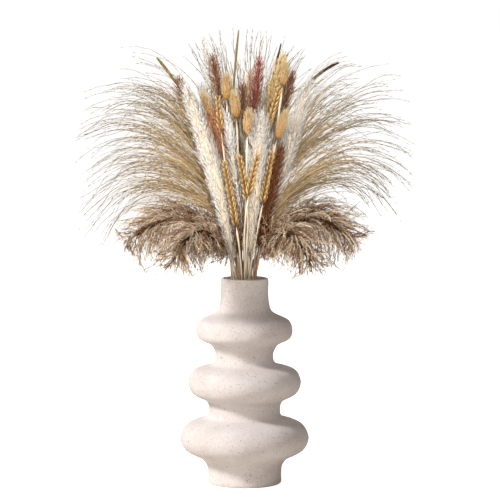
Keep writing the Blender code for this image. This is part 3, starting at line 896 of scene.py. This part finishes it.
def feed(tree, node, inputs):
    """Gives each of the node's sockets its value, or joins it to the socket that feeds it."""
    for name, value in inputs.items():
        socket = node.inputs[name]
        if isinstance(value, bpy.types.NodeSocket):
            tree.links.new(value, socket)
        else:
            socket.default_value = (*value, 1.0) if socket.type == "RGBA" else value


def put(tree, kind, inputs, **settings):
    """Adds a shader node of that kind and gives its outputs."""
    made = tree.nodes.new("ShaderNode" + kind)
    for name, value in settings.items():
        setattr(made, name, value)
    feed(tree, made, inputs)
    return made.outputs


def calc(tree, how, *values):
    """One step of arithmetic."""
    return put(tree, "Math", dict(enumerate(values)), operation=how)[0]


def blend(tree, part, first, second, how="MIX"):
    """A mix of two colours."""
    inputs = {0: part, 6: first, 7: second}
    return put(tree, "Mix", inputs, data_type="RGBA", blend_type=how)[2]


def noise(tree, place, scale, detail):
    return put(tree, "TexNoise", {"Vector": place, "Scale": scale, "Detail": detail})[0]


def group(name, make, inputs, outputs):
    """The shader node group of that name, made the first time it is asked for; inputs and
    outputs give the type of each of its sockets."""
    if name not in bpy.data.node_groups:
        tree = bpy.data.node_groups.new(name, "ShaderNodeTree")
        for way, sockets in (("INPUT", inputs), ("OUTPUT", outputs)):
            for socket, kind in sockets.items():
                tree.interface.new_socket(name=socket, in_out=way, socket_type=kind)
        given = tree.nodes.new("NodeGroupInput").outputs
        feed(tree, tree.nodes.new("NodeGroupOutput"), make(tree, given))
    return bpy.data.node_groups[name]


def strand_tint(tree, given):
    """Colours a strand from its root to its tip, and from inside to outside."""
    where = put(tree, "UVMap", {}, uv_map=BAKE_MAP)[0]
    across, upwards, _ = put(tree, "SeparateXYZ", {0: where})
    past_start = calc(tree, "SUBTRACT", across, given["Band Start"])
    inside = calc(tree, "DIVIDE", past_start, given["Band Width"])
    rise = calc(tree, "POWER", upwards, given["Rise"])
    near = blend(tree, rise, given["Near Root"], given["Near Tip"])
    far = blend(tree, rise, given["Far Root"], given["Far Tip"])
    tint = blend(tree, inside, near, far)
    grain_across = calc(tree, "MULTIPLY", across, 260.0)
    grain_along = calc(tree, "MULTIPLY", upwards, given["Streak Length"])
    grain_place = put(tree, "CombineXYZ", {0: grain_across, 1: grain_along})[0]
    grain = calc(tree, "SUBTRACT", noise(tree, grain_place, 1.0, 1.0), 0.5)
    swing = calc(tree, "MULTIPLY", grain, given["Streaks"])
    shade = calc(tree, "ADD", 1.0, calc(tree, "MULTIPLY", swing, 2.0))
    grey = put(tree, "CombineColor", {0: shade, 1: shade, 2: shade})[0]
    return {"Colour": blend(tree, 1.0, tint, grey, "MULTIPLY")}


def stoneware_marks(tree, given):
    """Scatters specks and clouds over bare clay."""
    place = put(tree, "TexCoord", {})["Object"]
    specks = []
    for cell, size, kept in ((0.0021, "Fine Speck", 0.6), (0.0085, "Bold Speck", 0.4)):
        cells = put(tree, "TexVoronoi", {"Vector": place, "Scale": 1 / cell})
        chance = put(tree, "SeparateColor", {0: cells["Color"]})
        largest = calc(tree, "MULTIPLY", given[size], 0.5 / cell)
        radius = calc(tree, "MULTIPLY", largest, calc(tree, "ADD", 0.45, chance[1]))
        solid = calc(tree, "MULTIPLY", radius, 0.55)
        ramp = {0: cells["Distance"], 1: radius, 2: solid, 3: 0.0, 4: 1.0}
        edge = put(tree, "MapRange", ramp)[0]
        strong = calc(tree, "ADD", 0.35, calc(tree, "MULTIPLY", chance[2], 0.6))
        shown = calc(tree, "MULTIPLY", calc(tree, "LESS_THAN", chance[0], kept), strong)
        specks.append(calc(tree, "MULTIPLY", edge, shown))
    clouds, grit = noise(tree, place, 34.0, 4.0), noise(tree, place, 620.0, 3.0)
    swell = calc(tree, "MULTIPLY", noise(tree, place, 60.0, 2.0), 2.0)
    return {
        "Specks": calc(tree, "MAXIMUM", *specks),
        "Clouds": calc(tree, "ADD", clouds, grit),
        "Height": calc(tree, "ADD", grit, swell),
    }


def new_material(name, inputs):
    """A material whose shader has those values."""
    material = bpy.data.materials.new(name)
    material.use_nodes = True
    shader = material.node_tree.nodes["Principled BSDF"]
    feed(material.node_tree, shader, inputs)
    return material, material.node_tree, shader


def strand_finish(
    name, band, colours, roughness=0.9, streaks=0.25, streak_length=3.0, glow=0.0, rise=0.6
):
    """A finish for strands in one band of the map; colours are near root, near tip, far root and
    far tip."""
    if name in bpy.data.materials:
        return bpy.data.materials[name]
    own = {
        "Roughness": roughness,
        "Subsurface Weight": glow,
        "Subsurface Scale": 0.0015,
        "Subsurface Radius": (1.0, 0.85, 0.65),
        "Specular IOR Level": 0.25,
    }
    material, tree, shader = new_material(name, own)
    sockets = {**dict.fromkeys(TINTS, COLOUR), **dict.fromkeys(GAUGES, VALUE)}
    values = (*colours, *BANDS[band], streaks, streak_length, rise)
    tree_of_tint = group("Strand Tint", strand_tint, sockets, {"Colour": COLOUR})
    tint = put(tree, "Group", dict(zip(sockets, values)), node_tree=tree_of_tint)
    feed(tree, shader, {"Base Color": tint["Colour"]})
    material.diffuse_color = (*colours[1], 1.0)
    return material


def stem_finish(look):
    colours = (look.foot, look.straw, look.dark_foot, look.copper)
    return strand_finish("stem_skin", "stem", colours, 0.55, 0.3, 30.0)


def tinted(own, factor):
    return tuple(min(1.0, value * factor) for value in own)


def head_finishes(kind, look, variant=None):
    """The finishes of a head, its threads and its core, from the look's own four colours or
    from shades of the variant's one."""
    if variant is None:
        name, colours = kind, (look.near_root, look.near_tip, look.far_root, look.far_tip)
    else:
        own = getattr(look, variant)
        name, colours = f"{kind}_{variant}", [tinted(own, f) for f in (0.55, 1.05, 0.95, 1.75)]
    near, _, far, _ = colours
    glow, rise = getattr(look, "glow", 0.0), getattr(look, "rise", 0.6)
    # The core takes shades of the near root colour, so for the white and brown plumes it carries their
    # painted shade inside the head.
    inner = [tinted(near, factor) for factor in (0.8, 1.0, 0.9, 1.1)]
    name = "dried_" + name
    return {
        "head": strand_finish(name, "head", colours, glow=glow, rise=rise),
        "thread": strand_finish(name + "_threads", "thread", (near, far, tinted(near, 0.8), far)),
        "core": strand_finish(name + "_core", "core", inner),
    }


def stoneware_finish(look):
    """Bare matte clay with iron specks."""
    own = {"Roughness": look.roughness, "Specular IOR Level": 0.3}
    material, tree, shader = new_material("speckled_stoneware", own)
    sizes = {"Fine Speck": look.fine_speck, "Bold Speck": look.bold_speck}
    results = dict.fromkeys(("Specks", "Clouds", "Height"), VALUE)
    tree_of_marks = group("Stoneware Marks", stoneware_marks, dict.fromkeys(sizes, VALUE), results)
    marks = put(tree, "Group", sizes, node_tree=tree_of_marks)
    cloudy = put(tree, "MapRange", {0: marks["Clouds"], 1: 0.85, 2: 1.25, 3: 0.0, 4: 0.7})[0]
    clay = blend(tree, cloudy, look.clay, look.clay_deep)
    bump = {"Strength": 0.6, "Distance": 0.0002, "Height": marks["Height"]}
    speckled = blend(tree, marks["Specks"], clay, look.speck)
    feed(tree, shader, {"Base Color": speckled, "Normal": put(tree, "Bump", bump)[0]})
    return material


# ---------------------------------------------------------------- operators


def belongs(piece, slot, *nodes):
    """The piece stands for those solids, which it hides, and moves with the body; the slot is not used.
    """
    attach(piece, BODY)
    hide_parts(*nodes)


class StalkOperator(bpy.types.Operator):
    """Dresses every stalk of one kind"""

    kind = ""
    grow = None  # grows a head: takes the sheaf, the stalk, the kind's look and its number
    seed = 0
    redness = 0.0  # of its stems: 0 for straw, 0.7 for copper
    variants = {}  # for a kind in several colours, the colour of each stalk

    def execute(self, context):
        looks = context.scene.arrangement
        look = getattr(looks, self.kind)
        names = [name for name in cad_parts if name.startswith(self.kind + "_")]
        if not names:
            raise RuntimeError(f"the solid model has no {self.kind}")
        for ordinal in sorted(int(name.rsplit("_", 1)[1]) for name in names):
            node = f"{self.kind}_{ordinal}"
            stalk = Stalk(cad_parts[node])
            sheaf = Sheaf(self.seed * 1000 + ordinal)
            type(self).grow(sheaf, stalk, look, ordinal)
            lay_stem(sheaf, stalk.stem, self.redness + sheaf.rng.uniform(0.0, 0.3))
            finishes = head_finishes(self.kind, look, self.variants.get(ordinal))
            finishes["stem"] = stem_finish(looks.stem)
            belongs(sheaf.piece("dried_" + node, finishes), self.kind, node)
        return {"FINISHED"}


class ARRANGEMENT_OT_white_pampas(StalkOperator):
    """Grows the white pampas plumes"""

    bl_idname = "arrangement.white_pampas"
    bl_label = "White pampas"
    kind, grow, seed = "white_pampas", grow_white_pampas, 11
    variants = {7: "cream", 8: "cream"}


class ARRANGEMENT_OT_brown_pampas(StalkOperator):
    """Grows the drooping brown pampas plumes"""

    bl_idname = "arrangement.brown_pampas"
    bl_label = "Brown pampas"
    kind, grow, seed, redness = "brown_pampas", grow_brown_pampas, 12, 0.5


class ARRANGEMENT_OT_silver_grass(StalkOperator):
    """Grows the fans of silver grass"""

    bl_idname = "arrangement.silver_grass"
    bl_label = "Silver grass"
    kind, grow, seed, redness = "silver_grass", grow_silver_grass, 13, 0.25


class ARRANGEMENT_OT_reed_plume(StalkOperator):
    """Grows the small dark and golden reed plumes"""

    bl_idname = "arrangement.reed_plume"
    bl_label = "Reed plumes"
    kind, grow, seed, redness = "reed_plume", grow_reed_plume, 14, 0.7
    variants = {
        **dict.fromkeys((1, 2, 3, 7, 10), "brown"),
        **{4: "sand", 5: "burgundy", 6: "golden", 8: "copper", 9: "russet"},
    }


class ARRANGEMENT_OT_bunny_tail(StalkOperator):
    """Grows the bunny tails"""

    bl_idname = "arrangement.bunny_tail"
    bl_label = "Bunny tails"
    kind, grow, seed, redness = "bunny_tail", grow_bunny_tail, 15, 0.1


class ARRANGEMENT_OT_wheat_ear(StalkOperator):
    """Sets the grains of the wheat ears"""

    bl_idname = "arrangement.wheat_ear"
    bl_label = "Wheat ears"
    kind, grow, seed, redness = "wheat_ear", grow_wheat_ear, 16, 0.05


class ARRANGEMENT_OT_seed_spike(StalkOperator):
    """Sets the seeds of the slim spikes"""

    bl_idname = "arrangement.seed_spike"
    bl_label = "Seed spikes"
    kind, grow, seed, redness = "seed_spike", grow_seed_spike, 17, 0.6
    variants = {1: "olive", 2: "olive", 3: "brown", 4: "brown"}


class ARRANGEMENT_OT_vase(bpy.types.Operator):
    """Turns the ringed vase from its outline"""

    bl_idname = "arrangement.vase"
    bl_label = "Vase"

    def execute(self, context):
        look = context.scene.arrangement.vase
        rings = rings_of(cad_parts["vase"])
        keys = np.array([(np.hypot(r[:, 0], r[:, 1]).max(), 0.0, r[:, 2].mean()) for r in rings])
        outline = smooth_through(keys, look.outline_steps)
        outline = np.vstack([(0, 0, outline[0, 2]), outline, (0, 0, outline[-1, 2])])
        start_modelling()
        bpy.ops.mesh.primitive_plane_add(size=0.001)
        vase = bpy.context.object
        bpy.ops.object.mode_set(mode="EDIT")
        bpy.ops.mesh.select_all(action="SELECT")
        bpy.ops.mesh.merge(type="CENTER")
        bpy.ops.transform.translate(value=outline[0])
        for here, there in zip(outline, outline[1:]):
            bpy.ops.mesh.extrude_vertices_move(TRANSFORM_OT_translate={"value": there - here})
        bpy.ops.mesh.select_all(action="SELECT")
        bpy.ops.mesh.spin(steps=look.turn_steps, angle=math.tau, center=(0, 0, 0), axis=(0, 0, 1))
        bpy.ops.mesh.select_all(action="SELECT")
        bpy.ops.mesh.remove_doubles(threshold=SEAM)
        bpy.ops.mesh.normals_make_consistent(inside=False)
        bpy.ops.object.mode_set(mode="OBJECT")
        bpy.ops.object.shade_smooth_by_angle(angle=math.radians(50))
        vase.name = vase.data.name = "stoneware_vase"
        vase.data.materials.append(stoneware_finish(look))
        belongs(vase, "stoneware", "vase")
        return {"FINISHED"}


class ARRANGEMENT_OT_twine(bpy.types.Operator):
    """Winds the twisted twine round the stems"""

    bl_idname = "arrangement.twine"
    bl_label = "Twine"

    def execute(self, context):
        look = context.scene.arrangement.twine
        low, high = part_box("twine_tie")
        centre, radius = (low + high) / 2, (high.x - low.x) / 2 - look.cord
        rise = np.linspace(0, 1, KNOTS["twine"])
        turn = rise * look.turns * math.tau + 1.2  # the ends lie behind
        height = low.z + look.cord + rise * (high.z - low.z - 2 * look.cord)
        swing = turn * look.twist + np.array([[0.0], [math.pi]])
        out = radius + 0.5 * look.cord * np.cos(swing)
        across, deep = centre.x + out * np.cos(turn), centre.y + out * np.sin(turn)
        plies = np.stack([across, deep, height + 0.5 * look.cord * np.sin(swing)], axis=-1)
        sheaf = Sheaf(18)
        sheaf.lay("twine", plies, look.cord * 0.52, "head", np.array([0.3, 0.7]))
        fuzz, _ = hairs_on(plies, sheaf.rng, look.fuzz, 0.0, look.lean, look.fibre)
        sheaf.lay("hair", fuzz, look.girth, "head", sheaf.rng.uniform(size=len(fuzz)))
        colours = (look.dark, look.light, look.light, look.dark)
        finish = strand_finish("jute_twine", "head", colours, 0.95, 0.5, 160.0)
        belongs(sheaf.piece("jute_twine_tie", {"head": finish}), "jute", "twine_tie")
        return {"FINISHED"}


class ARRANGEMENT_OT_stage(bpy.types.Operator):
    """Sets the floor, the lights and the camera"""

    bl_idname = "arrangement.stage"
    bl_label = "Stage"

    def seen_and_felt(self, tree, seen, felt, end):
        """Joins the last node to what the camera sees, and to what all other light meets."""
        eye = put(tree, "LightPath", {})["Is Camera Ray"]
        either = put(tree, "MixShader", {0: eye, 1: felt, 2: seen})[0]
        feed(tree, tree.nodes[end], {"Surface": either})

    def floor(self, look):
        start_modelling()
        bpy.ops.mesh.primitive_circle_add(vertices=96, radius=look.floor_size, fill_type="NGON")
        floor = bpy.context.object
        floor.name = "studio_floor"
        own = {"Roughness": 0.9, "Base Color": look.floor}
        material, tree, shader = new_material("studio_floor", own)
        glow = put(tree, "Emission", {"Color": WHITE, "Strength": look.glow})[0]
        seen = put(tree, "AddShader", {0: shader.outputs[0], 1: glow})[0]
        felt = put(tree, "BsdfDiffuse", {"Color": look.bounce})[0]
        self.seen_and_felt(tree, seen, felt, "Material Output")
        floor.data.materials.append(material)

    def world(self, look):
        world = bpy.data.worlds.new("studio")
        bpy.context.scene.world = world
        world.use_nodes = True
        tree = world.node_tree
        felt = tree.nodes["Background"]
        feed(tree, felt, {"Color": look.sky, "Strength": look.fill})
        seen = put(tree, "Background", {"Color": WHITE, "Strength": 1.0})[0]
        self.seen_and_felt(tree, seen, felt.outputs[0], "World Output")

    def light(self, name, place, aim, size, power, spot=None):
        """A round light of that width, or a spot of that many degrees."""
        bpy.ops.object.light_add(type="SPOT" if spot else "AREA", location=place)
        lamp = bpy.context.object
        lamp.name = name
        lamp.data.energy = power
        if spot:
            lamp.data.spot_size, lamp.data.spot_blend = math.radians(spot), 0.35
            lamp.data.shadow_soft_size = size / 2
        else:
            lamp.data.shape, lamp.data.size = "DISK", size
        lamp.visible_camera = False
        away = lamp.location - type(lamp.location)(aim)
        lamp.rotation_euler = away.to_track_quat("Z", "Y").to_euler()

    def execute(self, context):
        look = context.scene.arrangement.stage
        self.floor(look)
        self.world(look)
        middle = (0, 0, 0.25)
        self.light("key", (-2.10, -1.10, 1.85), middle, look.key_size, look.key_power)
        self.light("front_fill", (-0.60, -2.20, 1.10), middle, 1.3, look.front_power)
        self.light("plume_fill", (0.45, -2.30, 0.95), (0, 0, 0.405), 0.1, look.plume_power, 8.4)
        self.light("back_fill", (-0.90, 2.30, 1.10), (0, 0, 0.3), 1.4, look.back_power)
        self.light("side_fill", (2.40, 0.30, 0.80), (0, 0, 0.22), 1.2, look.side_power)
        level = look.distance * math.cos(look.elevation)
        height = look.aim_height + look.distance * math.sin(look.elevation)
        bpy.ops.object.camera_add(
            location=(look.aim_side, -level, height), rotation=(math.pi / 2 - look.elevation, 0, 0)
        )
        camera = context.object
        camera.data.lens = look.lens
        camera.data.sensor_width = 36.0
        camera.data.clip_end = 1000.0
        context.scene.camera = camera
        context.scene.view_settings.view_transform = "Standard"
        return {"FINISHED"}


class ARRANGEMENT_PT_panel(bpy.types.Panel):
    """Lists the steps of the arrangement"""

    bl_label = "Dried Arrangement"
    bl_idname = "ARRANGEMENT_PT_panel"
    bl_space_type = "VIEW_3D"
    bl_region_type = "UI"
    bl_category = "Dried Arrangement"

    def draw(self, context):
        for step in STEPS:
            self.layout.operator(step.bl_idname)


STEPS = (
    ARRANGEMENT_OT_stage,
    ARRANGEMENT_OT_vase,
    ARRANGEMENT_OT_twine,
    ARRANGEMENT_OT_white_pampas,
    ARRANGEMENT_OT_brown_pampas,
    ARRANGEMENT_OT_silver_grass,
    ARRANGEMENT_OT_reed_plume,
    ARRANGEMENT_OT_bunny_tail,
    ARRANGEMENT_OT_wheat_ear,
    ARRANGEMENT_OT_seed_spike,
)
CLASSES = (*LOOKS.values(), ArrangementLook, *STEPS, ARRANGEMENT_PT_panel)


def register():
    for cls in CLASSES:
        bpy.utils.register_class(cls)
    bpy.types.Scene.arrangement = PointerProperty(type=ArrangementLook)


def unregister():
    del bpy.types.Scene.arrangement
    for cls in reversed(CLASSES):
        bpy.utils.unregister_class(cls)


def main():
    register()
    for step in STEPS:
        group, name = step.bl_idname.split(".")
        getattr(getattr(bpy.ops, group), name)()


if __name__ == "__main__":
    main()
